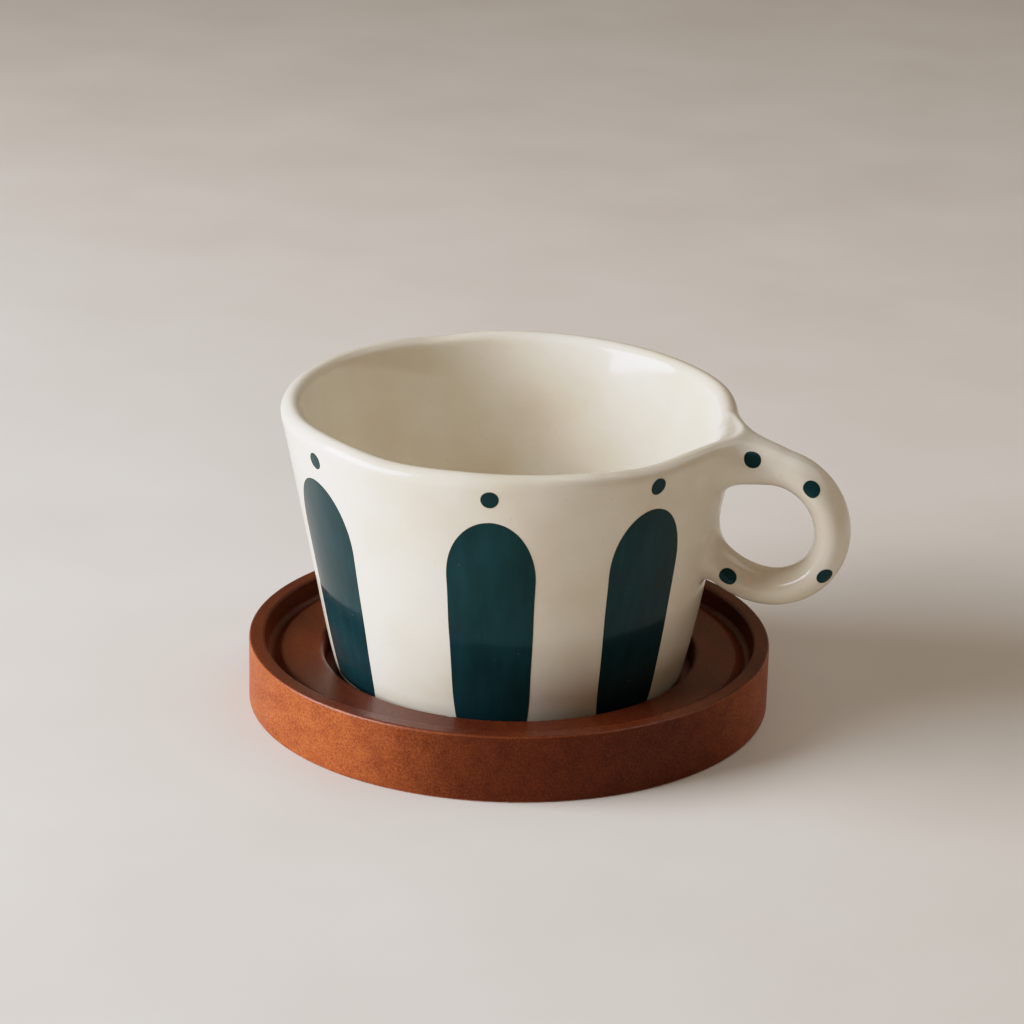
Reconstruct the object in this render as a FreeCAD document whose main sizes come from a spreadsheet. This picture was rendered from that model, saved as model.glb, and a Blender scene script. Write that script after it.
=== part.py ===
import FreeCAD, Part
import math
import os

import Sketcher
from FreeCAD import Placement, Rotation, Vector

# Hand-pinched stoneware mug standing in the well of a turned wooden saucer.
# Millimetres, +Z up. The origin is the centre of the saucer's underside and the
# handle points along +X. Azimuths are degrees about +Z, counted from the handle.

SIZES = [
    # wooden saucer, a turned disc
    ("saucer_radius", 60.0),
    ("saucer_height", 15.6),
    ("saucer_lip_width", 3.5),
    ("saucer_lip_draft", 0.8),
    ("saucer_groove_width", 4.2),
    ("saucer_groove_shoulder", 1.9),
    ("saucer_groove_level", 10.6),
    ("saucer_plateau_level", 12.2),
    ("saucer_edge_round", 0.7),
    ("saucer_soft_round", 1.2),
    ("well_radius", 43.0),
    ("well_draft", 0.6),
    ("well_level", 7.4),
    # clay slab that closes the bottom of the cup
    ("slab_radius", 37.5),
    ("slab_thickness", 5.0),
    ("slab_cove", 2.4),
    ("slab_ledge", 0.4),
    # pinched wall
    ("foot_radius", 40.4),
    ("wall_slope", 0.199),
    ("wall_thickness", 5.0),
    ("rim_height", 71.6),
    ("rim_tilt", 0.8),
    ("rim_tilt_azimuth", 140.0),
    ("rim_oval_lift", 0.3),
    ("rim_oval_azimuth", 106.0),
    ("spout_reach", 4.6),
    ("spout_spread", 9.0),
    # ring handle
    ("ring_centre_x", 60.45),
    ("ring_centre_height", 49.85),
    ("ring_radius", 14.1),
    ("ring_thickness", 8.4),
    ("ring_width", 10.9),
    ("root_reach", 4.0),
    ("root_start_x", 50.3),
    ("root_width", 21.2),
    ("root_thickness", 11.7),
    ("root_lift", 1.5),
    ("ring_drift_angle", -95.0),
    ("ring_drift", 2.2),
    ("ring_end_angle", -180.0),
    ("cavity_headroom", 8.0),
    ("cavity_flare", 1.9),
    # painted decoration, flush with the glaze
    ("paint_depth", 0.4),
    ("arch_top_width", 18.6),
    ("arch_foot_width", 16.0),
    ("arch_bottom", 9.6),
    ("rim_dot_radius", 2.0),
    ("rim_dot_height", 66.3),
    ("handle_dot_radius", 2.0),
]

# Azimuth and top height of each painted arch, clockwise seen from above, and how
# far round from the arch its dot sits.
ARCHES = [(-34.2, 60.9, -0.6), (-77.3, 60.7, 0.0), (-130.5, 61.1, 2.4), (-178.6, 61.2, 0.9),
          (133.2, 60.6, -0.8), (85.2, 61.4, 0.5), (37.2, 60.8, -0.4)]

# Places where the potter's fingers left the rim higher or lower:
# azimuth, lift in mm, spread in degrees.
RIM_PINCHES = [(-125.0, 0.8, 14.0), (-104.0, -0.6, 8.0), (-36.0, -0.5, 10.0),
               (-20.0, 0.5, 8.0), (129.0, -1.1, 6.0)]

# Flat places thumbed into the wall beside the handle: azimuth, depth in mm, spread
# in degrees. They begin at one part of the wall's height and are full at another.
WALL_FLATS = [(14.0, 2.3, 15.0), (-24.0, 0.6, 9.0)]
FLATS_FROM, FLATS_FULL = 0.35, 0.85
SPOUT_POWER = 6

# Dots on each face of the ring, as (x, height) of their centres.
HANDLE_DOTS = [(56.8, 66.6), (70.4, 61.5), (52.4, 38.5), (73.9, 41.7)]

# Control points of the wall's section. The flanks are given as parts of its height.
# The lip, foot and toe are given as (inset, rise) in mm from the outer rim corner,
# the outer foot corner and the inside corner over the slab.
FLANK_PARTS = (0.06, 0.25, 0.45, 0.65, 0.82, 0.91)
INNER_FLANK_PARTS = FLANK_PARTS[:1:-1]
LIP_POINTS = [(0.1, -1.8), (1.2, 0.35)]
FOOT_INSETS = (2.4, 0.7)
TOE_POINTS = [(-0.9, 5.0), (0.05, 0.0), (0.6, -4.0)]
TOE_INSET = 1.0

ROOT_PARTS = (0.0, 0.25, 0.5, 0.75)
PRISM_REACH = 6.0
AZIMUTH_STATIONS = 36
SECTION_STATIONS = 12
RING_STEP = 30.0
DRIFT_SPAN = 60.0
DEGREE = 3
REPAIR = 0.001

document = FreeCAD.newDocument("StonewareMug")
sheet = document.addObject("Spreadsheet::Sheet", "Sizes")
for row, (alias, value) in enumerate(SIZES, start=1):
    sheet.set(f"A{row}", alias)
    sheet.set(f"B{row}", str(value))
    sheet.setAlias(f"B{row}", alias)
for number, (azimuth, top, dot_shift) in enumerate(ARCHES, start=1):
    row = len(SIZES) + number
    sheet.set(f"A{row}", f"arch_{number}_top")
    sheet.set(f"B{row}", str(top))
    sheet.setAlias(f"B{row}", f"arch_{number}_top")
document.recompute()


def size(alias):
    """Value of one spreadsheet cell, in millimetres or degrees."""
    return float(sheet.get(alias))


def named(feature, label):
    feature.Label = label
    return feature


# ---------------------------------------------------------------- sketches

def outline_sketch(owner, name, corners):
    """Closed outline of straight lines. Each corner is a pair of expressions,
    across and up, so the sketch follows the spreadsheet."""
    sketch = owner.newObject("Sketcher::SketchObject", name)
    places = [Vector(sketch.evalExpression(across), sketch.evalExpression(up), 0)
              for across, up in corners]
    count = len(places)
    for index, place in enumerate(places):
        sketch.addGeometry(Part.LineSegment(place, places[(index + 1) % count]), False)
    for index in range(count):
        following = (index + 1) % count
        sketch.addConstraint(Sketcher.Constraint("Coincident", index, 2, following, 1))
    for index, (across, up) in enumerate(corners):
        pin_point(sketch, index, 1, across, up)
    return sketch


def pin(sketch, kind, geometry, end, expression):
    """Hold one point of a sketch at a distance from its origin along one axis."""
    value = sketch.evalExpression(expression)
    number = sketch.addConstraint(Sketcher.Constraint(kind, -1, 1, geometry, end, value))
    sketch.setExpression(f"Constraints[{number}]", expression)


def pin_point(sketch, geometry, end, across, up):
    """Hold one point of a sketch at two expressions measured from its origin."""
    pin(sketch, "DistanceX", geometry, end, across)
    pin(sketch, "DistanceY", geometry, end, up)


def origin_plane(body, role):
    return next(part for part in body.Origin.OriginFeatures if part.Role == role)


def turned_body(label, corners):
    """Body turned about +Z from a half section given as (radius, height)."""
    body = named(document.addObject("PartDesign::Body", label), label)
    section = outline_sketch(body, f"{label}_section", corners)
    section.AttachmentSupport = [(origin_plane(body, "XZ_Plane"), "")]
    section.MapMode = "FlatFace"
    turning = body.newObject("PartDesign::Revolution", f"{label}_turning")
    turning.Profile = section
    turning.ReferenceAxis = (section, ["V_Axis"])
    turning.Angle = 360.0
    document.recompute()
    return body, turning


def ring_edges(feature, radius, height):
    """Names of the circular edges of one radius at one height."""
    names = []
    for number, edge in enumerate(feature.Shape.Edges, start=1):
        curve = edge.Curve
        if not isinstance(curve, Part.Circle):
            continue
        if abs(curve.Radius - radius) < 0.01 and abs(curve.Center.z - height) < 0.01:
            names.append(f"Edge{number}")
    return names


def round_edges(body, base, rings, radius_expression, name):
    """PartDesign fillet on the circular edges given as (radius, height)."""
    edges = [edge for radius, height in rings for edge in ring_edges(base, radius, height)]
    fillet = body.newObject("PartDesign::Fillet", name)
    fillet.Base = (base, edges)
    fillet.setExpression("Radius", radius_expression)
    body.Tip = fillet
    document.recompute()
    return fillet


# ---------------------------------------------------------------- saucer

def build_saucer():
    """Flat disc with a raised lip, a groove inside it, a plateau and a well."""
    lip = "Sizes.saucer_radius - Sizes.saucer_lip_width"
    plateau = f"{lip} - Sizes.saucer_groove_width"
    corners = [
        ("0", "0"),
        ("Sizes.saucer_radius", "0"),
        ("Sizes.saucer_radius", "Sizes.saucer_height"),
        (lip, "Sizes.saucer_height"),
        (f"{lip} - Sizes.saucer_lip_draft", "Sizes.saucer_groove_level"),
        (f"{plateau} + Sizes.saucer_groove_shoulder", "Sizes.saucer_groove_level"),
        (plateau, "Sizes.saucer_plateau_level"),
        ("Sizes.well_radius", "Sizes.saucer_plateau_level"),
        ("Sizes.well_radius - Sizes.well_draft", "Sizes.well_level"),
        ("0", "Sizes.well_level"),
    ]
    body, turning = turned_body("wood_saucer", corners)
    lip_radius = size("saucer_radius") - size("saucer_lip_width")
    crisp = [(size("saucer_radius"), 0.0), (size("saucer_radius"), size("saucer_height")),
             (lip_radius, size("saucer_height"))]
    edged = round_edges(body, turning, crisp, "Sizes.saucer_edge_round", "saucer_edges")
    plateau_radius = lip_radius - size("saucer_groove_width")
    soft = [(lip_radius - size("saucer_lip_draft"), size("saucer_groove_level")),
            (plateau_radius + size("saucer_groove_shoulder"), size("saucer_groove_level")),
            (plateau_radius, size("saucer_plateau_level")),
            (size("well_radius"), size("saucer_plateau_level"))]
    round_edges(body, edged, soft, "Sizes.saucer_soft_round", "saucer_soft_edges")
    return body


# ---------------------------------------------------------------- cup

def build_floor():
    """Clay slab in the bottom of the cup, coved up to meet the wall."""
    inner = "Sizes.slab_radius - Sizes.slab_ledge"
    top = "Sizes.well_level + Sizes.slab_thickness"
    corners = [
        ("0", "Sizes.well_level"),
        ("Sizes.slab_radius", "Sizes.well_level"),
        ("Sizes.slab_radius", f"{top} + Sizes.slab_cove"),
        (inner, f"{top} + Sizes.slab_cove"),
        (inner, top),
        ("0", top),
    ]
    body, turning = turned_body("cup_floor", corners)
    corner = [(size("slab_radius") - size("slab_ledge"),
               size("well_level") + size("slab_thickness"))]
    round_edges(body, turning, corner, "Sizes.slab_cove - 0.01", "floor_cove")
    return body


def angle_between(azimuth, other):
    return (azimuth - other + 180.0) % 360.0 - 180.0


def bell(azimuth, centre, spread):
    return math.exp(-(angle_between(azimuth, centre) / spread) ** 2)


def rim_top(azimuth):
    """Height of the rim: a slight tilt, a slight saddle and the finger marks."""
    tilt = size("rim_tilt") * math.cos(math.radians(azimuth - size("rim_tilt_azimuth")))
    saddle = size("rim_oval_lift") * math.cos(
        math.radians(2.0 * (azimuth - size("rim_oval_azimuth"))))
    pinches = sum(lift * bell(azimuth, centre, spread)
                  for centre, lift, spread in RIM_PINCHES)
    return size("rim_height") + tilt + saddle + pinches


def ease(share):
    """Smooth rise from 0 to 1 while share goes from 0 to 1."""
    share = min(1.0, max(0.0, share))
    return share * share * (3.0 - 2.0 * share)


def outer_radius(azimuth, height):
    """Radius of the wall's outside: a cone, drawn out towards the handle near
    the rim and flattened on both sides of that corner."""
    rise = height - size("well_level")
    part = rise / (size("rim_height") - size("well_level"))
    cone = size("foot_radius") + size("wall_slope") * rise
    pull = size("spout_reach") * bell(azimuth, 0.0, size("spout_spread"))
    flats = sum(depth * bell(azimuth, centre, spread) for centre, depth, spread in WALL_FLATS)
    flat_share = ease((part - FLATS_FROM) / (FLATS_FULL - FLATS_FROM))
    return cone + pull * max(0.0, part) ** SPOUT_POWER - flats * flat_share


def wall_section(azimuth, skin):
    """Control points, as (radius, height), of the wall's section at one azimuth:
    up the outside, over the rounded lip and down the inside. The outside lies
    skin below the glaze."""
    foot = size("well_level")
    top = rim_top(azimuth)
    thickness = size("wall_thickness")
    rise = top - foot
    heights = [foot + rise * part for part in FLANK_PARTS]
    outside = [(outer_radius(azimuth, height) - skin, height) for height in heights]
    heights = [foot + rise * part for part in INNER_FLANK_PARTS]
    inside = [(outer_radius(azimuth, height) - thickness, height) for height in heights]
    lip = outer_radius(azimuth, top)
    (edge_inset, edge_rise), (crown_inset, crown_rise) = LIP_POINTS
    over = [(lip - edge_inset - skin, top + edge_rise),
            (lip - crown_inset, top + crown_rise),
            (lip - thickness + crown_inset, top + crown_rise),
            (lip - thickness + edge_inset, top + edge_rise)]
    bottom = [(size("foot_radius") - skin - inset, foot) for inset in FOOT_INSETS]
    corner = foot + size("slab_thickness") + size("slab_cove")
    inner = size("slab_radius") - size("slab_ledge")
    down = [(inner - inset, corner + rise) for inset, rise in TOE_POINTS]
    return bottom + outside + over + inside + down + [(inner - TOE_INSET, foot)]


def skinned_face(columns):
    """Cubic skin over columns of control points, closed around the columns."""
    across = len(columns)
    spans = len(columns[0]) - DEGREE
    surface = Part.BSplineSurface()
    surface.buildFromPolesMultsKnots(
        columns,
        [1] * (across + 1),
        [DEGREE + 1] + [1] * (spans - 1) + [DEGREE + 1],
        list(range(across + 1)),
        list(range(spans + 1)),
        True, False, DEGREE, DEGREE)
    return surface.toShape()


def closed_solid(name, faces):
    solid = Part.Solid(Part.Shell(faces))
    solid.fix(REPAIR, REPAIR, REPAIR)
    blank = document.addObject("Part::Feature", name)
    blank.Shape = solid
    return blank


def wall_blank(name, skin):
    """Closed ring of clay between the outside and the inside of the wall."""
    columns = []
    for station in range(AZIMUTH_STATIONS):
        azimuth = 360.0 * station / AZIMUTH_STATIONS
        turn = Rotation(Vector(0, 0, 1), azimuth)
        columns.append([turn.multVec(Vector(radius, 0, height))
                        for radius, height in wall_section(azimuth, skin)])
    skin_face = skinned_face(columns)
    rims = [Part.Wire(edge) for edge in skin_face.Edges if edge.isClosed()]
    rims.sort(key=lambda rim: rim.BoundBox.XLength, reverse=True)
    return closed_solid(name, [skin_face, Part.Face(rims)])


def cylinder(name, radius, start_height, height):
    post = document.addObject("Part::Cylinder", name)
    post.setExpression("Radius", radius)
    post.setExpression("Placement.Base.z", start_height)
    post.setExpression("Height", height)
    return post


def cut(name, base, tool):
    feature = document.addObject("Part::Cut", name)
    feature.Base = base
    feature.Tool = tool
    return feature


def common(name, base, tool):
    feature = document.addObject("Part::Common", name)
    feature.Base = base
    feature.Tool = tool
    return feature


def fuse(name, shapes):
    feature = document.addObject("Part::MultiFuse", name)
    feature.Shapes = shapes
    return feature


# ---------------------------------------------------------------- painting

def wall_frame(azimuth, height):
    """Placement on the wall: local X runs round it, local Y up its slope and
    local Z out of it."""
    slope = math.degrees(math.atan(size("wall_slope")))
    radius = size("foot_radius") + size("wall_slope") * (height - size("well_level"))
    spin = Rotation(Vector(0, 0, 1), azimuth + 90.0)
    lean = Rotation(Vector(1, 0, 0), 90.0 + slope)
    place = Rotation(Vector(0, 0, 1), azimuth).multVec(Vector(radius, 0, height))
    return Placement(place, spin.multiply(lean))


def extrusion(name, sketch):
    """Prism through the wall, normal to its surface, on both sides of the sketch."""
    prism = document.addObject("Part::Extrusion", name)
    prism.Base = sketch
    prism.DirMode = "Normal"
    prism.LengthFwd = PRISM_REACH
    prism.LengthRev = PRISM_REACH
    prism.Solid = True
    return prism


def arch_prism(number, azimuth):
    """Tall window shape: straight tapering sides under a round top."""
    sketch = document.addObject("Sketcher::SketchObject", f"arch_{number}_outline")
    sketch.Placement = wall_frame(azimuth, size("arch_bottom"))
    half_top = "Sizes.arch_top_width / 2"
    half_foot = "Sizes.arch_foot_width / 2"
    spring = (f"(Sizes.arch_{number}_top - Sizes.arch_bottom)"
              f" * sqrt(1 + Sizes.wall_slope ^ 2) - {half_top}")
    top, foot = size("arch_top_width") / 2, size("arch_foot_width") / 2
    level = sketch.evalExpression(spring)
    corners = [Vector(-foot, 0, 0), Vector(foot, 0, 0), Vector(top, level, 0),
               Vector(-top, level, 0)]
    sketch.addGeometry(Part.LineSegment(corners[0], corners[1]), False)
    sketch.addGeometry(Part.LineSegment(corners[1], corners[2]), False)
    crown = Part.ArcOfCircle(Part.Circle(Vector(0, level, 0), Vector(0, 0, 1), top),
                             0.0, math.pi)
    sketch.addGeometry(crown, False)
    sketch.addGeometry(Part.LineSegment(corners[3], corners[0]), False)
    for first, first_end, second, second_end in ((0, 2, 1, 1), (1, 2, 2, 1),
                                                 (2, 2, 3, 1), (3, 2, 0, 1)):
        sketch.addConstraint(
            Sketcher.Constraint("Coincident", first, first_end, second, second_end))
    pin_point(sketch, 0, 1, f"-{half_foot}", "0")
    pin_point(sketch, 0, 2, half_foot, "0")
    pin_point(sketch, 2, 3, "0", spring)
    pin_point(sketch, 2, 1, half_top, spring)
    pin(sketch, "DistanceY", 2, 2, spring)
    return extrusion(f"arch_{number}_prism", sketch)


def dot_prism(number, azimuth):
    """Round brush touch above an arch."""
    sketch = document.addObject("Sketcher::SketchObject", f"rim_dot_{number}_outline")
    sketch.Placement = wall_frame(azimuth, size("rim_dot_height"))
    sketch.addGeometry(Part.Circle(Vector(0, 0, 0), Vector(0, 0, 1),
                                   size("rim_dot_radius")), False)
    sketch.addConstraint(Sketcher.Constraint("Coincident", 0, 3, -1, 1))
    radius = sketch.addConstraint(
        Sketcher.Constraint("Radius", 0, size("rim_dot_radius")))
    sketch.setExpression(f"Constraints[{radius}]", "Sizes.rim_dot_radius")
    return extrusion(f"rim_dot_{number}_prism", sketch)


def build_cup():
    """Wall with shallow pockets, and the painted arches and dots that fill them."""
    blank = wall_blank("wall_blank", 0.0)
    core = wall_blank("wall_under_paint", size("paint_depth"))
    slab_top = "Sizes.slab_thickness + Sizes.slab_cove"
    seat = cylinder("floor_seat", "Sizes.slab_radius", "Sizes.well_level", slab_top)
    arches = [arch_prism(number, azimuth)
              for number, (azimuth, top, dot_shift) in enumerate(ARCHES, start=1)]
    dots = [dot_prism(number, azimuth + dot_shift)
            for number, (azimuth, top, dot_shift) in enumerate(ARCHES, start=1)]
    document.recompute()
    bare = cut("wall_bare", blank, seat)
    skin = cut("paint_layer", bare, core)
    pieces = [common(f"painted_arch_{number}", skin, prism)
              for number, prism in enumerate(arches, start=1)]
    pieces.append(common("rim_dots", skin, fuse("rim_dot_prisms", dots)))
    wall = cut("cup_wall", bare, fuse("painted_areas", pieces))
    document.recompute()
    return blank, [named(piece, piece.Name) for piece in [wall] + pieces]


# ---------------------------------------------------------------- handle

def swell(step):
    """Control points on a circle stand outside it by this factor, for a cubic
    skin whose control points are step degrees apart."""
    return 3.0 / (2.0 + math.cos(math.radians(step)))


def root_share(across):
    """0 on the ring, rising from where it begins to swell to 1 at the roll's start."""
    swelling = size("ring_centre_x") + size("root_reach")
    return max(0.0, (swelling - across) / (swelling - size("root_start_x")))


def root_section(across):
    """Lift of the centre line, thickness and width of the roll near its root."""
    share = root_share(across)
    thickness = size("ring_thickness") + share * (
        size("root_thickness") - size("ring_thickness"))
    width = size("ring_width") + share ** 2 * (size("root_width") - size("ring_width"))
    return size("root_lift") * share, thickness, width


def handle_stations():
    """Centre x, centre height, direction of the normal, thickness and width of
    each section: out of the rim, round the ring and, drifting outwards, into the
    wall."""
    start, finish = size("root_start_x"), size("ring_centre_x")
    centre, radius = size("ring_centre_height"), size("ring_radius")
    stations = []
    for part in ROOT_PARTS:
        across = start + (finish - start) * part
        lift, thickness, width = root_section(across)
        stations.append((across, centre + radius + lift, 90.0, thickness, width))
    angle = 90.0
    while angle > size("ring_end_angle") - 0.5 * RING_STEP:
        cosine, sine = math.cos(math.radians(angle)), math.sin(math.radians(angle))
        lift, thickness, width = 0.0, size("ring_thickness"), size("ring_width")
        if angle > 0.0:
            lift, thickness, width = root_section(finish + radius * cosine)
        drift = max(0.0, (size("ring_drift_angle") - angle) / DRIFT_SPAN) ** 2
        reach = (radius + lift + size("ring_drift") * drift) * swell(RING_STEP)
        stations.append((finish + reach * cosine, centre + reach * sine, angle,
                         thickness, width))
        angle -= RING_STEP
    return stations


def handle_roll(name, skin):
    """Clay roll, oval in section, bent into a ring with a broad root. Its surface
    lies skin below the glaze."""
    grow = swell(360.0 / SECTION_STATIONS)
    columns = []
    for index in range(SECTION_STATIONS):
        turn = 2.0 * math.pi * index / SECTION_STATIONS
        column = []
        for across, height, angle, thickness, width in handle_stations():
            normal = Vector(math.cos(math.radians(angle)), 0, math.sin(math.radians(angle)))
            offset = normal * (math.cos(turn) * (thickness / 2 - skin) * grow)
            offset += Vector(0, 1, 0) * (math.sin(turn) * (width / 2 - skin) * grow)
            column.append(Vector(across, 0, height) + offset)
        columns.append(column)
    roll = skinned_face(columns)
    ends = [Part.Face(Part.Wire(edge)) for edge in roll.Edges if edge.isClosed()]
    return closed_solid(name, [roll] + ends)


def build_handle(blank):
    """Ring pressed onto the wall, with a broad root that runs out of the rim."""
    cavity = document.addObject("Part::Cone", "cup_cavity")
    cavity.setExpression("Radius1", "Sizes.foot_radius - Sizes.wall_thickness / 2")
    cavity.setExpression("Radius2", "Sizes.foot_radius - Sizes.wall_thickness / 2"
                         " + Sizes.cavity_flare + Sizes.wall_slope * (Sizes.rim_height"
                         " + Sizes.cavity_headroom - Sizes.well_level)")
    cavity.setExpression("Height", "Sizes.rim_height + Sizes.cavity_headroom"
                         " - Sizes.well_level")
    cavity.setExpression("Placement.Base.z", "Sizes.well_level")
    outside = cut("handle_outside", handle_roll("handle_blank", 0.0), cavity)
    trimmed = cut("handle_trimmed", outside, blank)
    plugs = []
    for number, (across, height) in enumerate(HANDLE_DOTS, start=1):
        plug = document.addObject("Part::Cylinder", f"handle_dot_{number}_plug")
        plug.setExpression("Radius", "Sizes.handle_dot_radius")
        plug.setExpression("Height", "Sizes.root_width")
        plug.Placement = Placement(Vector(across, size("root_width") / 2, height),
                                   Rotation(Vector(1, 0, 0), 90.0))
        plugs.append(plug)
    core = handle_roll("handle_under_paint", size("paint_depth"))
    skin = cut("handle_paint_layer", trimmed, core)
    dots = common("handle_dots", skin, fuse("handle_dot_plugs", plugs))
    handle = cut("ring_handle", trimmed, dots)
    document.recompute()
    return [named(handle, "ring_handle"), named(dots, "handle_dots")]


# ---------------------------------------------------------------- build and write

def check_document():
    for feature in document.Objects:
        troubles = {"Invalid", "Error"} & set(feature.State)
        if troubles:
            raise RuntimeError(f"{feature.Name} is {', '.join(sorted(troubles))}")


def write_parts(nodes):
    os.makedirs("parts", exist_ok=True)
    for node in nodes:
        shape = node.Shape
        if shape.isNull() or not shape.isValid() or not shape.Solids:
            raise RuntimeError(f"{node.Label} has no valid solid")
        print(f"{node.Label}: {len(shape.Solids)} solids, {shape.Volume:.1f} mm3")
        shape.exportStep(f"parts/{node.Label}.step")


saucer = build_saucer()
cup_floor = build_floor()
wall_ring, painted_cup = build_cup()
handle_parts = build_handle(wall_ring)
check_document()
write_parts([saucer, cup_floor] + painted_cup + handle_parts)
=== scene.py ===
import math

import bpy
import numpy as np
from mathutils import Matrix, Vector
from mathutils.bvhtree import BVHTree


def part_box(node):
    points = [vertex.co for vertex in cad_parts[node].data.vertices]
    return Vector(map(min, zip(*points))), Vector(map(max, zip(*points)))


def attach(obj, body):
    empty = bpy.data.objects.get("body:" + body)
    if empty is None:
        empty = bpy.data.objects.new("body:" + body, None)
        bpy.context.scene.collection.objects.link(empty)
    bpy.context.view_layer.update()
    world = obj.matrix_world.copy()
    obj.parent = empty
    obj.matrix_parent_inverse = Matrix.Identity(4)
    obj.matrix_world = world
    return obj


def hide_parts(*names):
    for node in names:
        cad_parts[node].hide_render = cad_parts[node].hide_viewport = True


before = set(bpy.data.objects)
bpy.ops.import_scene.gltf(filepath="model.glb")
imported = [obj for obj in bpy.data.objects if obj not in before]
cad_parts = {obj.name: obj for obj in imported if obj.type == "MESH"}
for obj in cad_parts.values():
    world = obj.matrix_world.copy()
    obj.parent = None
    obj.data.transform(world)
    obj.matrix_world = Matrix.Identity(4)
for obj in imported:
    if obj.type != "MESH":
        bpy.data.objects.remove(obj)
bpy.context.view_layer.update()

# Looks for the stoneware mug and its wooden saucer. Shapes are worked in millimetres
# in the frame's own axes and turned into metres when a mesh is made. The glazed body
# of the mug is one surface, the zero level of a distance function that is measured
# from the CAD nodes, so that wall, floor and handle flow into each other like clay.

MM = 0.001
MUG = "mug"
ARCH_NODES = [f"painted_arch_{number}" for number in range(1, 8)]

FINE = 0.7            # mesh size of the glazed body
RELAX = 0.6           # how far each evening round slides a point to its neighbours' middle
LEAN_SPAN = 6.0       # the wall's lean at the lip is taken over this height
HANDLE_FROM = 32.4    # the handle shapes the clay only where X is above this
GENTLEST = 0.2        # least squared slope used to size a step onto the surface
CLEAR = 0.04          # how far paint stands proud of the clay
PAINT_DEPTH = 0.3     # how far paint reaches into the clay
FILLET = 3.4          # clay smeared where the handle meets the wall
RIM_FILLET = 1.6      # and where its root runs level into the rim
RIM_FILLET_SPAN = 6.0  # the one turns into the other over this height below the rim
RING_END = math.radians(-180.0)   # the ring's lower end, pressed into the wall
COVE = 9.0            # inside corner between wall and floor
FOOT_ROUND = 1.6      # rounding under the wall
CORNER_BACKING = 3.4  # clay added inside the pinched corner at the handle
CORNER_AZIMUTH = math.radians(2.0)
CORNER_SPREAD = math.radians(8.0)
CORNER_POWER = 6      # how late that clay comes on the way up to the rim
ARCH_CAP = 0.29       # share of a painted arch that its oval top takes
ARCH_FOOT_PINCH = 0.07   # an arch narrows by this share at its foot
ARCH_FOOT_REACH = 4.0    # over about this height
ARCH_WOBBLE = 0.015      # unsteadiness of its sides, as a share of its half width
DAB_WOBBLE = 0.05        # unsteadiness of a dot's edge, as a share of its radius
SAUCER_EDGE = 1.2     # the darker colour begins this far inside the saucer's outer side
END_GRAIN_AND_SHADE_SIDE = (0.57, -0.82, 0.0)    # towards the saucer's end-grain sides, which also carry painted shade where the window light falls off
# How the hand that painted each arch strayed, in degrees round the wall: wider on
# each side, and its top and its foot shifted.
ARCH_STRAYS = ((-0.1, -0.8, 2.0), (0.1, 0.1, 0.15), (1.3, 0.0, -0.9), (0.2, 0.2, -0.6),
               (0.6, -0.3, 0.8), (0.3, 0.0, 0.3), (0.5, 0.3, -0.9))


# ---------------------------------------------------------------- meshes

def new_mesh_object(name, points, faces, smooth=True):
    """Object from points in millimetres."""
    mesh = bpy.data.meshes.new(name)
    mesh.from_pydata((np.asarray(points) * MM).tolist(), [], [list(f) for f in faces])
    mesh.validate()
    mesh.polygons.foreach_set("use_smooth", [smooth] * len(mesh.polygons))
    piece = bpy.data.objects.new(name, mesh)
    bpy.context.scene.collection.objects.link(piece)
    return piece


def node_mesh(names):
    """Points in millimetres and faces of several CAD nodes taken together."""
    points, faces, start = [], [], 0
    for name in names:
        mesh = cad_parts[name].data
        own = np.empty(len(mesh.vertices) * 3)
        mesh.vertices.foreach_get("co", own)
        points.append(own.reshape(-1, 3) / MM)
        faces += [[start + corner for corner in face.vertices] for face in mesh.polygons]
        start += len(mesh.vertices)
    return np.concatenate(points), faces


def ray_tree(names):
    points, faces = node_mesh(names)
    return BVHTree.FromPolygons(points.tolist(), faces)


# ---------------------------------------------------------------- measured shape

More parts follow.
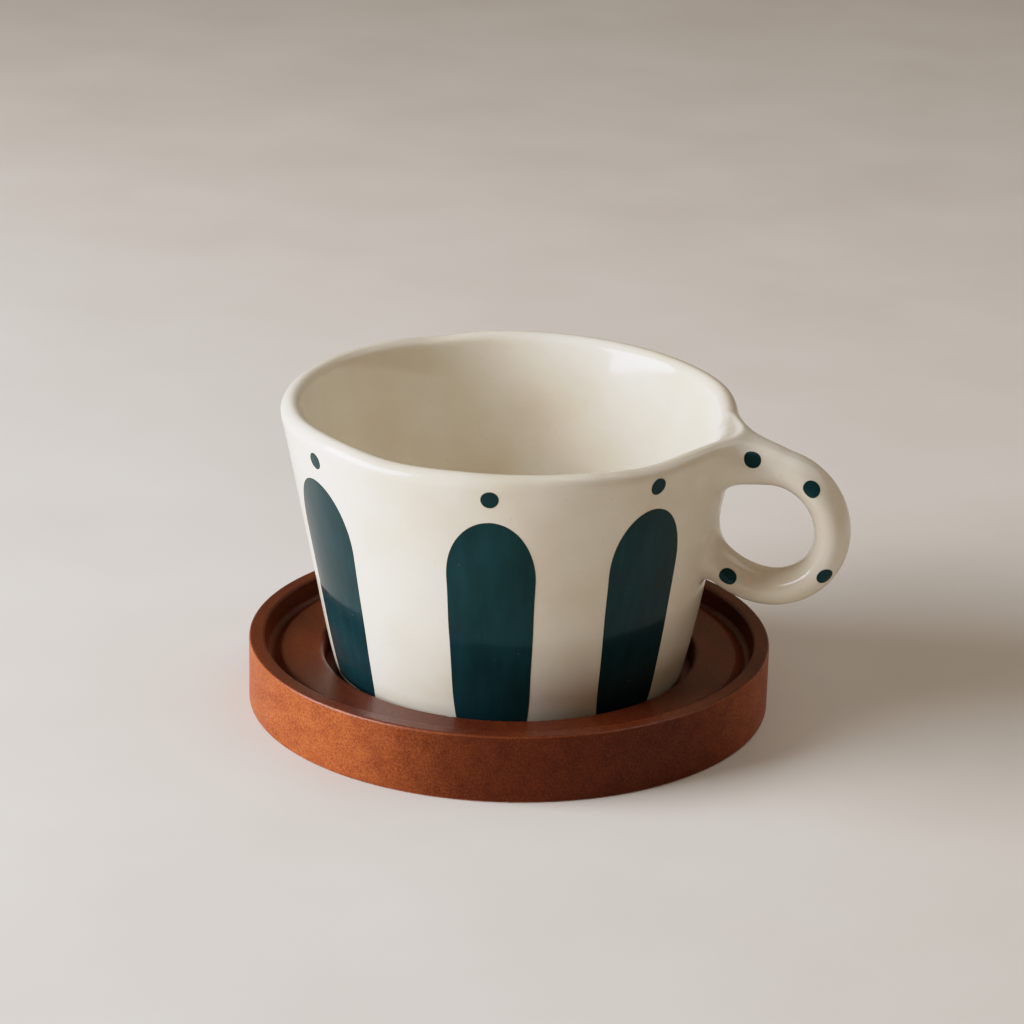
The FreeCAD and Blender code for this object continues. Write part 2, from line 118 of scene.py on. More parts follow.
class Wall:
    """The pinched wall, measured from the CAD nodes by rays and kept as smooth
    functions of azimuth and height."""

    TURNS = 20        # waves round the wall
    POWERS = 6        # powers of the height
    TABLE = 4001      # azimuths kept in each table
    LIP_INSET = 2.5   # the lip's height is met this far inside its outer corner
    FOOT_GAP = 4.0    # the outside is measured from this far above the foot
    LIP_GAP = 5.5     # to this far below the highest point
    LEVELS = 16       # at this many heights

    def __init__(self):
        low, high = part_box("cup_wall")
        self.foot = low.z / MM
        self.high = high.z / MM
        self.floor = self.measure_floor()
        tree = ray_tree(["cup_wall", "rim_dots"] + ARCH_NODES)
        azimuths = np.radians(np.arange(-180.0, 180.0, 3.0))
        heights = np.linspace(self.foot + self.FOOT_GAP, self.high - self.LIP_GAP, self.LEVELS)
        self.middle = (self.foot + self.high) / 2
        self.half_height = (self.high - self.foot) / 2
        grid_a, grid_z = [g.ravel() for g in np.meshgrid(azimuths, heights)]
        radii = [self.shoot_in(tree, a, z) for a, z in zip(grid_a, grid_z)]
        basis = self.basis(grid_a, grid_z)
        self.shape = np.linalg.lstsq(basis, np.array(radii), rcond=None)[0]
        fine = np.radians(np.arange(0.0, 360.0, 2.0))
        crest = [self.shoot_down(tree, a) for a in fine]
        rim_shape = np.linalg.lstsq(self.turns(fine), np.array(crest), rcond=None)[0]
        self.places = np.linspace(-math.pi, math.pi, self.TABLE)
        turns = self.turns(self.places)
        self.rim_table = turns @ rim_shape
        powers = self.shape.reshape(self.POWERS, -1)
        self.tables = [turns @ one_power for one_power in powers]
        ends = [np.mean(self.outer(azimuths, height)) for height in (heights[0], heights[-1])]
        self.slope = math.atan((ends[1] - ends[0]) / (heights[-1] - heights[0]))
        inner = np.mean([self.shoot_out(tree, a, self.middle) for a in azimuths])
        outer = np.mean(self.outer(azimuths, self.middle))
        self.half = (outer - inner) * math.cos(self.slope) / 2

    def measure_floor(self):
        hit = ray_tree(["cup_floor"]).ray_cast(Vector((0, 0, 200)), Vector((0, 0, -1)))
        return hit[0].z

    @staticmethod
    def shoot_in(tree, azimuth, height):
        outward = Vector((math.cos(azimuth), math.sin(azimuth), 0))
        start = outward * 200 + Vector((0, 0, height))
        hit = tree.ray_cast(start, -outward)
        return math.hypot(hit[0].x, hit[0].y)

    @staticmethod
    def shoot_out(tree, azimuth, height):
        outward = Vector((math.cos(azimuth), math.sin(azimuth), 0))
        hit = tree.ray_cast(Vector((0, 0, height)), outward)
        return math.hypot(hit[0].x, hit[0].y)

    def shoot_down(self, tree, azimuth):
        """Height of the lip."""
        outer = (self.basis(azimuth, self.high - 2.0) @ self.shape)[0]
        radius = outer - self.LIP_INSET
        start = Vector((math.cos(azimuth) * radius, math.sin(azimuth) * radius, 200))
        return tree.ray_cast(start, Vector((0, 0, -1)))[0].z

    def turns(self, azimuth):
        """Waves round the wall, one column each."""
        azimuth = np.atleast_1d(azimuth)
        waves = [np.ones_like(azimuth)]
        for turn in range(1, self.TURNS + 1):
            waves += [np.cos(turn * azimuth), np.sin(turn * azimuth)]
        return np.stack(waves, 1)

    def basis(self, azimuth, height):
        turns = self.turns(azimuth)
        level = (np.atleast_1d(height) - self.middle) / self.half_height
        return np.concatenate([turns * (level ** p)[:, None] for p in range(self.POWERS)], 1)

    def outer(self, azimuth, height):
        """Radius of the wall's outside."""
        level = (height - self.middle) / self.half_height
        radius = 0.0
        for table in reversed(self.tables):
            radius = radius * level + np.interp(azimuth, self.places, table)
        return radius

    def rim(self, azimuth):
        return np.interp(azimuth, self.places, self.rim_table)

    def backing(self, azimuth, height):
        """How much further in the wall's inside stands behind the corner at the
        handle, where the rim is broad and flat."""
        part = np.clip((height - self.foot) / (self.high - self.foot), 0.0, 1.0)
        away = (azimuth - CORNER_AZIMUTH) / CORNER_SPREAD
        return CORNER_BACKING * part ** CORNER_POWER * np.exp(-away ** 2)


class Ring:
    """The ring handle, measured from its CAD node: a circle whose roll swells into
    a broad root on its way to the rim, and leaves the circle at its lower end."""

    SWELL_REACH = 4.0                  # the root begins this far outside the crown
    ROOT_PLACE = 3.0                   # and is measured this far inside it
    SOFTNESS = 1.5                     # length over which the swelling sets in
    DRIFT_FROM = math.radians(-95.0)   # the lower end leaves the circle here
    DRIFT_PLACE = math.radians(-150.0)   # and is measured here

    def __init__(self):
        points = node_mesh(["ring_handle", "handle_dots"])[0]
        right = points[:, 0].max()
        self.height = float(np.median(points[points[:, 0] > right - 0.05, 2]))
        outside = self.height - points[:, 2].min()
        self.across = right - outside
        hole = Vector((self.across, 0.0, self.height))
        hit = ray_tree(["ring_handle"]).ray_cast(hole, Vector((1.0, 0.0, 0.0)))
        self.half = (right - hit[0].x) / 2
        level = points[(abs(points[:, 2] - self.height) < 1.0) & (points[:, 0] > self.across)]
        self.half_width = abs(level[:, 1]).max()
        self.radius = outside - self.half
        place = self.across - self.ROOT_PLACE
        root = points[(abs(points[:, 0] - place) < 0.7) & (points[:, 2] > self.height)]
        top, bottom = root[:, 2].max(), root[:, 2].min()
        run = self.swelling(-self.ROOT_PLACE)
        self.lift_rate = ((top + bottom) / 2 - self.height - self.radius) / run
        self.half_rate = ((top - bottom) / 2 - self.half) / run
        self.width_rate = (abs(root[:, 1]).max() - self.half_width) / run ** 2
        right, up = points[:, 0] - self.across, points[:, 2] - self.height
        low_end = abs(np.arctan2(up, right) - self.DRIFT_PLACE) < math.radians(3.0)
        inside = np.hypot(right, up)[low_end].min()
        span = self.DRIFT_FROM - self.DRIFT_PLACE
        self.drift_rate = (inside - self.radius + self.half) / span ** 2

    def swelling(self, right):
        """How far a place lies inwards of where the roll begins, softly, to swell."""
        inward = np.clip(self.SWELL_REACH - right, 0.0, 16.0)
        return inward ** 2 / (inward + self.SOFTNESS)

    def section(self, swelling):
        """Lift of the roll's middle, half its thickness and half its width."""
        return (self.lift_rate * swelling, self.half + self.half_rate * swelling,
                self.half_width + self.width_rate * swelling ** 2)

    def reach(self, turn):
        """Radius of the roll's middle, apart from the root's lift."""
        return self.radius + self.drift_rate * np.maximum(self.DRIFT_FROM - turn, 0.0) ** 2


# ---------------------------------------------------------------- glazed body

def smooth_min(first, second, reach):
    """The smaller of two distances, rounded where they are about equal."""
    mix = np.clip(0.5 + 0.5 * (second - first) / reach, 0.0, 1.0)
    return second + (first - second) * mix - reach * mix * (1.0 - mix)


def oval(across, along, half_across, half_along):
    """Distance to an oval, negative inside it."""
    near = np.hypot(across / half_across, along / half_along)
    steep = np.hypot(across / half_across ** 2, along / half_along ** 2)
    return near * (near - 1.0) / np.maximum(steep, 1e-6)


def cup_distance(points):
    """Distance to the cup without its handle, and the distance from the middle of
    the wall, positive towards the outside."""
    azimuth = np.arctan2(points[:, 1], points[:, 0])
    radius = np.hypot(points[:, 0], points[:, 1])
    height = points[:, 2]
    crest = wall.rim(azimuth)
    lip = crest - wall.half
    below = wall.outer(azimuth, lip - LEAN_SPAN)
    at_lip = wall.outer(azimuth, lip)
    lean = np.arctan((at_lip - below) / LEAN_SPAN)
    cosine, sine = np.cos(lean), np.sin(lean)
    spine = wall.outer(azimuth, np.clip(height, wall.foot, lip)) - wall.half / cosine
    radius = radius + np.clip(spine - radius, 0.0, wall.backing(azimuth, height))
    middle = wall.outer(azimuth, np.clip(height, wall.foot, crest)) - wall.half / cosine
    across = (radius - middle) * cosine
    out = radius - at_lip + wall.half / cosine
    up = height - lip
    past = out * sine + up * cosine
    round_lip = np.hypot(out * cosine - up * sine, past)
    clay = np.where(past > 0.0, round_lip, np.abs(across)) - wall.half
    coved = smooth_min(clay, height - wall.floor, COVE)
    clay = np.where(across < 0.0, coved, clay)
    return -smooth_min(-clay, height - wall.foot, FOOT_ROUND), across


def handle_distance(points, across):
    """Distance to the ring and its broad root, which stop in the wall's middle."""
    x, y, z = points.T
    right, up = x - ring.across, z - ring.height
    turn = np.arctan2(up, right)
    turn = np.where(turn > math.pi / 2, turn - 2.0 * math.pi, turn)
    turn = np.maximum(turn, RING_END)
    upper = np.where(turn > 0.0, ring.swelling(right), 0.0)
    lift, half, half_width = ring.section(upper)
    reach = ring.reach(turn) + lift
    out = (np.hypot(right - reach * np.cos(turn), up - reach * np.sin(turn))
           * np.sign(np.hypot(right, up) - reach))
    band = oval(out, y, half, half_width)
    lift, half, half_width = ring.section(ring.swelling(right))
    root = oval(up - ring.radius - lift, y, half, half_width)
    root = np.where(right > 0.0, np.hypot(np.maximum(root, 0.0), right), root)
    handle = np.minimum(band, root)
    return np.maximum(handle, -across)


def clay_distance(points):
    clay, across = cup_distance(points)
    near = points[:, 0] > HANDLE_FROM
    if near.any():
        handle = handle_distance(points[near], across[near])
        reach = np.interp(points[near][:, 2], [wall.high - RIM_FILLET_SPAN, wall.high],
                          [FILLET, RIM_FILLET])
        clay[near] = smooth_min(clay[near], handle, reach)
    return clay


def slope_of(distance, points, step=0.02):
    here = distance(points)
    slope = np.empty_like(points)
    for axis in range(3):
        moved = points.copy()
        moved[:, axis] += step
        slope[:, axis] = (distance(moved) - here) / step
    return here, slope


def settle(points, rounds):
    """Move points onto the clay's surface, along its steepest slope."""
    for _ in range(rounds):
        here, slope = slope_of(clay_distance, points)
        steep = np.maximum((slope ** 2).sum(1), GENTLEST)
        step = np.clip(here / steep, -1.0, 1.0)
        points = points - slope * step[:, None]
    return points, slope / np.sqrt(steep)[:, None]


def even_out(points, edges, normals, share):
    """Slide points along the surface towards the middle of their neighbours."""
    total = np.zeros_like(points)
    count = np.zeros(len(points))
    for start, end in ((0, 1), (1, 0)):
        np.add.at(total, edges[:, start], points[edges[:, end]])
        np.add.at(count, edges[:, start], 1.0)
    pull = total / count[:, None] - points
    pull -= normals * (pull * normals).sum(1)[:, None]
    return points + pull * share


def glazed_body():
    """Wall, floor and handle as one fired body."""
    nodes = ["cup_wall", "cup_floor", "ring_handle", "rim_dots", "handle_dots"]
    rough = new_mesh_object("rough_body", *node_mesh(nodes + ARCH_NODES))
    grid = rough.modifiers.new("even grid", "REMESH")
    grid.mode = "VOXEL"
    grid.voxel_size = FINE * MM
    shown = rough.evaluated_get(bpy.context.evaluated_depsgraph_get())
    mesh = bpy.data.meshes.new_from_object(shown)
    bpy.data.objects.remove(rough)
    points = np.empty(len(mesh.vertices) * 3)
    mesh.vertices.foreach_get("co", points)
    points = points.reshape(-1, 3) / MM
    edges = np.empty(len(mesh.edges) * 2, int)
    mesh.edges.foreach_get("vertices", edges)
    edges = edges.reshape(-1, 2)
    points, normals = settle(points, 5)
    for _ in range(3):
        points = even_out(points, edges, normals, RELAX)
        points, normals = settle(points, 1)
    points, normals = settle(points, 2)
    faces = [list(face.vertices) for face in mesh.polygons]
    bpy.data.meshes.remove(mesh)
    return new_mesh_object("glazed_body", points, faces)


# ---------------------------------------------------------------- painted decoration

def closed_sheet(name, outside, inside, edge_distance):
    """Thin closed piece between two grids of points, given row by row. The rows
    form an open patch. Each point keeps its distance from the painted edge."""
    rows, columns = outside.shape[:2]
    count = rows * columns
    points = np.concatenate([outside.reshape(-1, 3), inside.reshape(-1, 3)])
    faces = []
    for row in range(rows - 1):
        for column in range(columns - 1):
            corner = row * columns + column
            quad = [corner, corner + 1, corner + columns + 1, corner + columns]
            faces.append(quad)
            faces.append([count + index for index in reversed(quad)])
    loop = list(range(columns))
    loop += [row * columns + columns - 1 for row in range(1, rows)]
    loop += [(rows - 1) * columns + column for column in range(columns - 2, -1, -1)]
    loop += [row * columns for row in range(rows - 2, 0, -1)]
    for index, corner in enumerate(loop):
        following = loop[(index + 1) % len(loop)]
        faces.append([following, corner, corner + count, following + count])
    return painted_piece(name, points, faces, np.tile(edge_distance.ravel(), 2))


def painted_piece(name, points, faces, edge_distance):
    piece = new_mesh_object(name, points, faces)
    piece.data.set_sharp_from_angle(angle=math.radians(40.0))
    layer = piece.data.attributes.new("edge_distance", "FLOAT", "POINT")
    layer.data.foreach_set("value", np.asarray(edge_distance, np.float32))
    return piece


def on_wall(azimuth, height, proud):
    """Points on the wall's outside, standing proud of it."""
    azimuth = (azimuth + math.pi) % (2.0 * math.pi) - math.pi
    radius = wall.outer(azimuth, height) + proud / math.cos(wall.slope)
    return np.stack([radius * np.cos(azimuth), radius * np.sin(azimuth), height], -1)


def outline_distance(places, outline):
    """Distance of each flat place from a closed outline of flat points."""
    start, end = outline, np.roll(outline, -1, 0)
    side = end - start
    offset = places[:, None] - start[None]
    share = (offset * side[None]).sum(-1) / np.maximum((side ** 2).sum(-1), 1e-9)
    nearest = offset - side[None] * np.clip(share, 0.0, 1.0)[..., None]
    return np.sqrt((nearest ** 2).sum(-1)).min(1)


def wobble(draw, places, waves, size):
    """A hand's unsteadiness: a few slow waves with drawn phases."""
    result = np.zeros_like(places)
    for wave in waves:
        result += draw.uniform(0.5, 1.0) * np.sin(
            2.0 * math.pi * wave * places + draw.uniform(0.0, 2.0 * math.pi))
    return result * size / len(waves)


def span_of(node):
    """Middle azimuth, half angle, lowest and highest point of an arch node."""
    points = node_mesh([node])[0]
    azimuth = np.arctan2(points[:, 1], points[:, 0])
    middle = math.atan2(np.sin(azimuth).mean(), np.cos(azimuth).mean())
    apart = (azimuth - middle + math.pi) % (2.0 * math.pi) - math.pi
    middle += (apart.max() + apart.min()) / 2.0
    return middle, (apart.max() - apart.min()) / 2.0, points[:, 2].min(), points[:, 2].max()


def painted_arch(node, strays, draw):
    """One brushed arch: tall oval top, straight flanks and a narrower foot."""
    wider, top_shift, foot_shift = (math.radians(stray) for stray in strays)
    middle, half_angle, low, high = span_of(node)
    half_angle += wider
    tall = high - low
    cap = ARCH_CAP * tall
    flank = np.linspace(0.0, tall - cap, 46)
    rise = np.sin(np.linspace(0.0, math.pi / 2, 40))[1:]
    level = np.concatenate([flank, tall - cap + cap * rise])
    oval_top = np.concatenate([np.ones(len(flank)), np.sqrt(1.0 - np.minimum(rise, 0.9997) ** 2)])
    foot = ARCH_FOOT_PINCH * np.exp(-level / ARCH_FOOT_REACH)
    sides = []
    for _ in range(2):
        unsteady = wobble(draw, level / tall, (0.8, 1.7, 2.9), ARCH_WOBBLE)
        sides.append((1.0 - foot + unsteady) * oval_top * half_angle)
    share = (np.sin(np.linspace(-math.pi / 2, math.pi / 2, 41)) + 1.0) / 2.0
    spine = middle + foot_shift + (top_shift - foot_shift) * level / tall
    azimuth = spine[:, None] - np.outer(sides[0], 1.0 - share) + np.outer(sides[1], share)
    height = low + np.repeat(level[:, None], len(share), 1)
    flat = np.stack([azimuth * wall.outer(middle, (low + high) / 2.0), height], -1)
    outline = np.concatenate([flat[:, 0], flat[::-1, -1]])
    distance = outline_distance(flat.reshape(-1, 2), outline)
    return closed_sheet(f"arch_{node[-1]}", on_wall(azimuth, height, CLEAR),
                        on_wall(azimuth, height, -PAINT_DEPTH), distance)


def round_patch(radius, draw):
    """Flat places and edge distances of a roughly round dab, in rings from its
    middle outwards, without the middle point."""
    spokes = np.linspace(0.0, 2.0 * math.pi, 40, endpoint=False)
    reach = radius * (1.0 + wobble(draw, spokes / (2.0 * math.pi), (1, 2, 3), DAB_WOBBLE))
    rings = np.sin(np.linspace(0.0, math.pi / 2, 9))[1:]
    places = rings[:, None, None] * reach[None, :, None] * np.stack(
        [np.cos(spokes), np.sin(spokes)], -1)[None]
    outline = places[-1]
    return places, outline_distance(places.reshape(-1, 2), outline)


def dab(name, middle, surface, radius, draw):
    """Painted dot. surface turns flat offsets into points on the clay."""
    places, distance = round_patch(radius, draw)
    rings, spokes = places.shape[:2]
    flat = np.concatenate([np.zeros((1, 2)), places.reshape(-1, 2)])
    outside, inside = surface(middle, flat, CLEAR), surface(middle, flat, -PAINT_DEPTH)
    count = len(flat)
    faces = []
    for spoke in range(spokes):
        following = (spoke + 1) % spokes
        faces.append([0, 1 + spoke, 1 + following])
        for row in range(rings - 1):
            near, far = 1 + row * spokes, 1 + (row + 1) * spokes
            faces.append([near + spoke, far + spoke, far + following, near + following])
    faces += [[count + corner for corner in reversed(face)] for face in faces]
    last = 1 + (rings - 1) * spokes
    for spoke in range(spokes):
        following = (spoke + 1) % spokes
        faces.append([last + following, last + spoke, last + spoke + count,
                      last + following + count])
    edge = np.tile(np.concatenate([[radius], distance]), 2)
    return painted_piece(name, np.concatenate([outside, inside]), faces, edge)


def on_wall_near(middle, flat, proud):
    azimuth = math.atan2(middle[1], middle[0])
    radius = wall.outer(azimuth, middle[2])
    height = middle[2] + flat[:, 1] * math.cos(wall.slope)
    return on_wall(azimuth + flat[:, 0] / radius, height, proud)


def on_handle_near(middle, flat, proud):
    """Points on the flank of the handle: a flat dab laid square to the surface and
    wrapped onto it."""
    centre, normals = settle(np.array([middle]), 6)
    facing = normals[0] / np.linalg.norm(normals[0])
    up = np.array([0.0, 0.0, 1.0]) - facing * facing[2]
    up /= np.linalg.norm(up)
    places = centre + np.outer(flat[:, 0], np.cross(up, facing)) + np.outer(flat[:, 1], up)
    wrapped, normals = settle(places, 6)
    return wrapped + normals * proud


def dab_places(node):
    """Middle and radius of each separate dot of a node, told apart by the faces that
    join its points."""
    points, faces = node_mesh([node])
    place = np.unique(points.round(3), axis=0, return_inverse=True)[1].ravel()
    group = np.arange(place.max() + 1)
    joined = [place[face] for face in faces]
    settled = False
    while not settled:
        before = group.copy()
        for corners in joined:
            group[corners] = group[corners].min()
        settled = (group == before).all()
    for one in np.unique(group):
        dot = points[group[place] == one]
        yield dot.mean(0), (dot[:, 2].max() - dot[:, 2].min()) / 2.0


def painted_dots(node, surface, draw):
    pieces = []
    for number, (middle, radius) in enumerate(dab_places(node), start=1):
        name = f"{node[:-1]}_{number}"
        pieces.append(dab(name, middle, surface, radius, draw))
    return pieces


# ---------------------------------------------------------------- materials

class Look:
    """A node material built step by step. Every call returns an output socket."""

    def __init__(self, name):
        self.material = bpy.data.materials.new(name)
        self.material.use_nodes = True
        self.tree = self.material.node_tree
        self.tree.nodes.clear()
        where = self.tree.nodes.new("ShaderNodeTexCoord")
        self.place = where.outputs["Object"]

    def node(self, kind, inputs=None, **settings):
        made = self.tree.nodes.new(kind)
        for key, value in settings.items():
            setattr(made, key, value)
        for key, value in (inputs or {}).items():
            self.feed(made.inputs[key], value)
        return made

    def feed(self, socket, value):
        if isinstance(value, bpy.types.NodeSocket):
            self.tree.links.new(value, socket)
        else:
            socket.default_value = value

    def stretched(self, scale, turn=(0.0, 0.0, 0.0)):
        """Object place in millimetres, turned and then stretched."""
        turned = self.node("ShaderNodeMapping", {
            "Vector": self.place, "Rotation": [math.radians(t) for t in turn]})
        scaled = self.node("ShaderNodeMapping", {
            "Vector": turned.outputs[0], "Scale": [part / MM for part in scale]})
        return scaled.outputs[0]

    def noise(self, place, size, detail=2.0, rough=0.5):
        """Noise from 0 to 1, whose lumps are about size across."""
        made = self.node("ShaderNodeTexNoise", {
            "Vector": place, "Scale": 1.0 / size, "Detail": detail, "Roughness": rough})
        return made.outputs["Fac"]

    def math(self, operation, first, second=0.0, third=0.0):
        made = self.node("ShaderNodeMath", {0: first, 1: second, 2: third},
                         operation=operation)
        return made.outputs[0]

    def ramp(self, value, stops):
        """Colour from a value. Stops are (value, colour)."""
        made = self.node("ShaderNodeValToRGB", {0: value})
        band = made.color_ramp
        while len(band.elements) < len(stops):
            band.elements.new(1.0)
        for element, (position, shade) in zip(band.elements, stops):
            element.position = position
            element.color = shade
        return made.outputs[0]

    def level(self, value, low, high):
        """0 below low, 1 above high, with a smooth step between."""
        made = self.node("ShaderNodeMapRange", {
            "Value": value, "From Min": low, "From Max": high},
            interpolation_type="SMOOTHSTEP")
        return made.outputs[0]

    def blend(self, share, first, second, kind="MIX"):
        made = self.node("ShaderNodeMix", {0: share, 6: first, 7: second},
                         data_type="RGBA", blend_type=kind)
        return made.outputs[2]

    def bump(self, height, depth, before=None):
        """Relief whose full height is depth millimetres."""
        inputs = {"Height": height, "Distance": depth * MM, "Strength": 1.0}
        if before is not None:
            inputs["Normal"] = before
        return self.node("ShaderNodeBump", inputs).outputs[0]

    def finish(self, **inputs):
        names = {key.replace("_", " ").title().replace("Ior", "IOR"): value
                 for key, value in inputs.items()}
        shader = self.node("ShaderNodeBsdfPrincipled", names)
        out = self.node("ShaderNodeOutputMaterial")
        self.tree.links.new(shader.outputs[0], out.inputs[0])
        return self.material


def colour(red, green, blue):
    """Linear colour from screen values of 0 to 255."""
    def linear(value):
        value /= 255.0
        return value / 12.92 if value < 0.04045 else ((value + 0.055) / 1.055) ** 2.4
    return (linear(red), linear(green), linear(blue), 1.0)


def glaze_relief(look, place):
    """Soft unevenness of a dipped glaze over hand-pressed clay."""
    relief = look.bump(look.noise(place, 11.0, 2.0), 0.12)
    return look.bump(look.noise(place, 1.7, 1.0), 0.005, before=relief)


def cream_glaze():
    look = Look("cream_glaze")
    place = look.stretched((1.0, 1.0, 1.0))
    cloud = look.noise(place, 26.0, 3.0, 0.55)
    base = look.ramp(cloud, [(0.34, colour(227, 215, 192)), (0.5, colour(234, 224, 204)),
                             (0.66, colour(238, 230, 213))])
    fine = look.level(look.noise(place, 1.3, 3.0, 0.6), 0.30, 0.75)
    base = look.blend(look.math("MULTIPLY", fine, 0.10), base, colour(214, 204, 184))
    speck = look.level(look.noise(place, 1.0, 0.0), 0.80, 0.84)
    base = look.blend(look.math("MULTIPLY", speck, 0.12), base, colour(170, 146, 112))
    rough = look.math("MULTIPLY_ADD", look.noise(place, 12.0, 2.0), 0.06, 0.09)
    return look.finish(base_color=base, roughness=rough, ior=1.48,
                       normal=glaze_relief(look, place), subsurface_weight=0.10,
                       subsurface_radius=(1.0, 0.75, 0.5), subsurface_scale=0.0012)


def teal_underglaze():
    look = Look("teal_underglaze")
    place = look.stretched((1.0, 1.0, 1.0))
    strokes = look.noise(look.stretched((1.0, 1.0, 0.16)), 3.4, 3.0, 0.6)
    cloud = look.noise(place, 16.0, 2.0)
    depth = look.math("MULTIPLY_ADD", strokes, 0.5, look.math("MULTIPLY", cloud, 0.5))
    base = look.ramp(depth, [(0.36, colour(15, 38, 41)), (0.5, colour(17, 44, 47)),
                             (0.64, colour(20, 51, 55))])
    edge = look.node("ShaderNodeAttribute", attribute_name="edge_distance")
    ragged = look.math("MULTIPLY_ADD", look.noise(place, 1.2, 2.0), 0.3, edge.outputs["Fac"])
    base = look.blend(look.level(ragged, 0.20, 0.46), colour(36, 50, 34), base)
    speck = look.level(look.noise(place, 0.9, 0.0), 0.885, 0.905)
    base = look.blend(look.math("MULTIPLY", speck, 0.5), base, colour(150, 170, 168))
    rough = look.math("MULTIPLY_ADD", look.noise(place, 12.0, 2.0), 0.06, 0.07)
    return look.finish(base_color=base, roughness=rough, ior=1.26,
                       specular_tint=(0.38, 0.97, 1.0, 1.0), normal=glaze_relief(look, place))


def lacquered_wood():
    """Reddish hardwood: faint streaks along the grain, a fine speckle of pores, and
    everything inside the outer side darker under a glossier lacquer."""
    look = Look("lacquered_wood")
    turn = (0.0, 24.0, 60.0)
    streak = look.noise(look.stretched((0.09, 1.0, 1.0), turn), 3.4, 3.0, 0.55)
    cloud = look.noise(look.stretched((0.4, 1.0, 1.0), turn), 22.0, 2.0)
    grit = look.noise(look.stretched((0.75, 1.0, 1.0), turn), 0.42, 2.0, 0.65)
    tone = look.math("MULTIPLY_ADD", streak, 0.27, look.math("MULTIPLY", cloud, 0.08))
    tone = look.math("MULTIPLY_ADD", grit, 0.65, tone)
    base = look.ramp(tone, [(0.36, colour(120, 53, 22)), (0.46, colour(143, 68, 30)),
                            (0.54, colour(158, 80, 37)), (0.64, colour(174, 94, 46))])
    pores = look.level(look.noise(look.stretched((0.3, 1.0, 1.0), turn), 0.34, 1.0), 0.60, 0.72)
    base = look.blend(look.math("MULTIPLY", pores, 0.4), base, colour(62, 25, 11))
    facing = look.node("ShaderNodeNewGeometry").outputs["Normal"]
    upward = look.node("ShaderNodeSeparateXYZ", {0: facing}).outputs["Z"]
    flat = look.node("ShaderNodeVectorMath", {0: look.place, 1: (1000.0, 1000.0, 0.0)},
                     operation="MULTIPLY").outputs[0]
    radius = look.node("ShaderNodeVectorMath", {0: flat}, operation="LENGTH").outputs["Value"]
    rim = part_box("wood_saucer")[1].x / MM
    inner = look.level(radius, rim - SAUCER_EDGE, rim - 0.6 * SAUCER_EDGE)
    face = look.math("MAXIMUM", look.level(upward, 0.4, 0.9), look.math("SUBTRACT", 1.0, inner))
    # painted shade: sides facing along this line are darkened, partly as end grain taking more
    # stain and partly as shade where the window light falls off
    around_side = look.node("ShaderNodeVectorMath", {0: facing, 1: END_GRAIN_AND_SHADE_SIDE},
                            operation="DOT_PRODUCT").outputs["Value"]
    end_grain_and_shade = look.level(look.math("ABSOLUTE", around_side), 0.58, 0.95)
    base = look.blend(end_grain_and_shade, base, look.blend(1.0, base, colour(152, 136, 124), "MULTIPLY"))
    # the top and everything inside the outer side are made darker than the outer side
    darker_inside = look.blend(1.0, base, colour(150, 134, 128), kind="MULTIPLY")
    base = look.blend(face, base, darker_inside)
    relief = look.bump(look.math("SUBTRACT", 1.0, pores), 0.02)
    relief = look.bump(grit, 0.02, before=relief)
    rough = look.math("MULTIPLY_ADD", pores, 0.12, 0.45)
    lacquer = look.math("MULTIPLY", look.level(upward, 0.15, 0.5), 0.4)
    return look.finish(base_color=base, roughness=rough, normal=relief, ior=1.2,
                       coat_weight=lacquer, coat_roughness=0.32)


def pale_floor_look():
    look = Look("pale_floor")
    place = look.stretched((1.0, 1.0, 1.0))
    base = look.ramp(look.noise(place, 60.0, 3.0), [(0.3, colour(224, 215, 204)),
                                                    (0.7, colour(231, 223, 213))])
    return look.finish(base_color=base, roughness=0.85)


# ---------------------------------------------------------------- stage

TOP_LIGHT = 3.0           # light at which the picture reaches white
VIEW_AZIMUTH = 18.0       # the camera stands this far from -Y towards +X
CAMERA_REACH = 707.0      # from the axis, along the floor
CAMERA_HEIGHT = 303.0
CAMERA_PITCH = 20.05
CAMERA_ROLL = 1.29
CAMERA_LENS = 116.0


def around(azimuth, reach, height):
    """Place at an azimuth counted like the camera's."""
    turn = math.radians(azimuth)
    return Vector((math.sin(turn) * reach, -math.cos(turn) * reach, height)) * MM


def build_camera():
    data = bpy.data.cameras.new("camera")
    data.lens = CAMERA_LENS
    data.clip_start = 0.05
    data.clip_end = 20.0
    camera = bpy.data.objects.new("camera", data)
    bpy.context.scene.collection.objects.link(camera)
    turn, pitch, roll = (math.radians(angle) for angle in
                         (VIEW_AZIMUTH, CAMERA_PITCH, CAMERA_ROLL))
    camera.matrix_world = (Matrix.Translation(around(VIEW_AZIMUTH, CAMERA_REACH, CAMERA_HEIGHT))
                           @ Matrix.Rotation(turn, 4, "Z")
                           @ Matrix.Rotation(math.pi / 2 - pitch, 4, "X")
                           @ Matrix.Rotation(roll, 4, "Z"))
    bpy.context.scene.camera = camera


def soft_light(name, azimuth, reach, height, width, tall, power, tint):
    data = bpy.data.lights.new(name, "AREA")
    data.shape = "RECTANGLE"
    data.size, data.size_y = width * MM, tall * MM
    data.energy = power
    data.color = tint
    light = bpy.data.objects.new(name, data)
    bpy.context.scene.collection.objects.link(light)
    light.location = around(azimuth, reach, height)
    aim = Vector((0, 0, 40 * MM)) - light.location
    light.rotation_euler = aim.to_track_quat("-Z", "Y").to_euler()


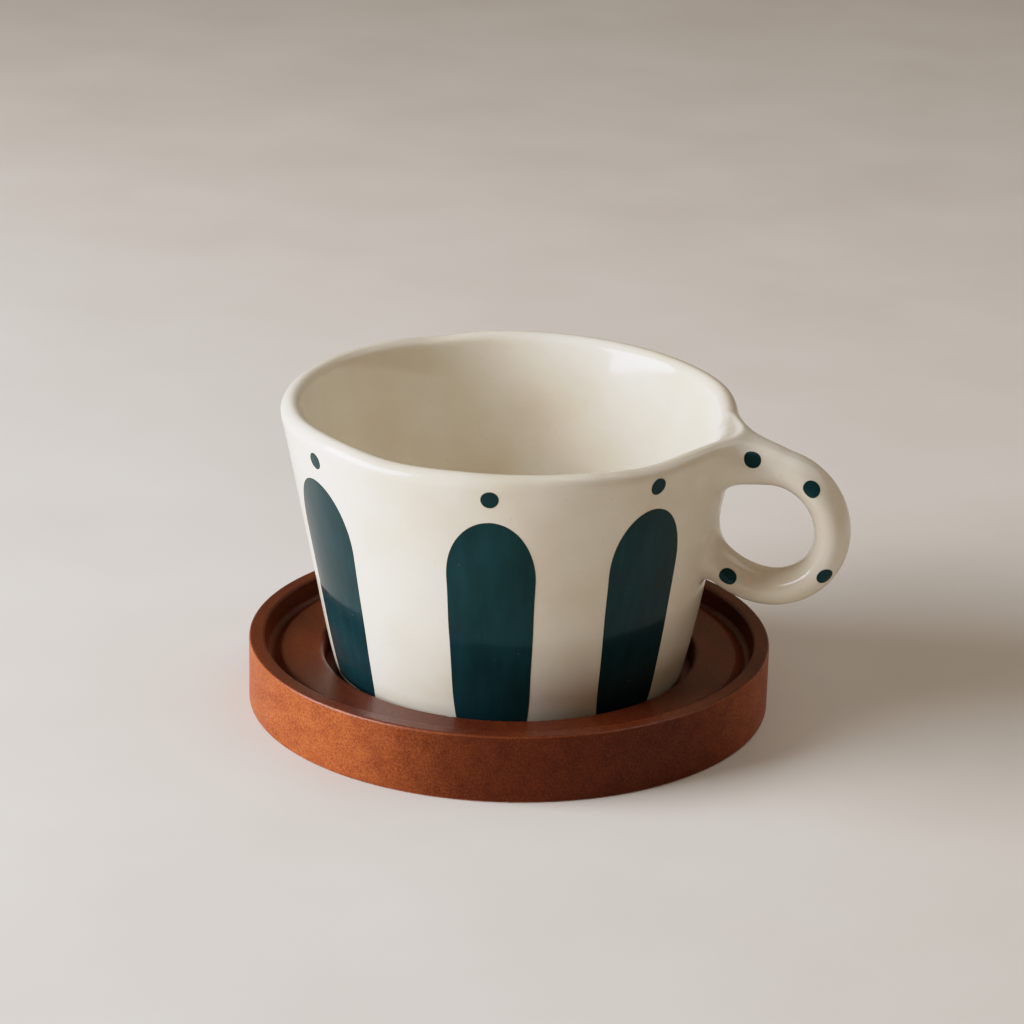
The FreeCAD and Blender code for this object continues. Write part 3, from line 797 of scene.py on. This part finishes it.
def build_stage():
    floor = new_mesh_object("floor", [(-3000, -3000, 0), (3000, -3000, 0), (3000, 3000, 0),
                                      (-3000, 3000, 0)], [[0, 1, 2, 3]], smooth=False)
    floor.data.materials.append(pale_floor_look())
    world = bpy.data.worlds.new("studio")
    world.use_nodes = True
    sky = world.node_tree.nodes["Background"]
    sky.inputs["Color"].default_value = (1.0, 0.74, 0.45, 1.0)
    sky.inputs["Strength"].default_value = 0.175
    bpy.context.scene.world = world
    soft_light("window", VIEW_AZIMUTH - 77.0, 950.0, 400.0, 800.0, 700.0, 22.0,
               (0.94, 0.98, 1.08))
    soft_light("ceiling", VIEW_AZIMUTH + 105.0, 600.0, 1000.0, 900.0, 900.0, 3.0,
               (0.97, 0.98, 1.0))
    soften_highlights()


def soften_highlights():
    """Roll bright light off gently, as a camera does. Points are (light in, light
    out), with the light in counted from 0 to TOP_LIGHT."""
    view = bpy.context.scene.view_settings
    view.view_transform = "Standard"
    view.use_curve_mapping = True
    mapping = view.curve_mapping
    mapping.white_level = (TOP_LIGHT, TOP_LIGHT, TOP_LIGHT)
    curve = mapping.curves[3]
    curve.points[1].location = (1.0, 0.96)
    for light_in, light_out in ((0.16, 0.16), (0.40, 0.38), (0.80, 0.66), (1.30, 0.82)):
        curve.points.new(light_in / TOP_LIGHT, light_out)
    mapping.update()


# ---------------------------------------------------------------- build

wall = Wall()
ring = Ring()
draw = np.random.default_rng(7)

glaze, teal, wood = cream_glaze(), teal_underglaze(), lacquered_wood()

body = glazed_body()
body.data.materials.append(glaze)
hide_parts("cup_wall", "cup_floor", "ring_handle")
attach(body, MUG)

painted = [(painted_arch(node, strays, draw), node)
           for node, strays in zip(ARCH_NODES, ARCH_STRAYS)]
painted += [(dot, "rim_dots") for dot in painted_dots("rim_dots", on_wall_near, draw)]
painted += [(dot, "handle_dots") for dot in painted_dots("handle_dots", on_handle_near, draw)]
for piece, node in painted:
    piece.data.materials.append(teal)
    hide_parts(node)
    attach(piece, MUG)

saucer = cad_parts["wood_saucer"]
saucer.data.materials.clear()
saucer.data.materials.append(wood)

build_stage()
build_camera()
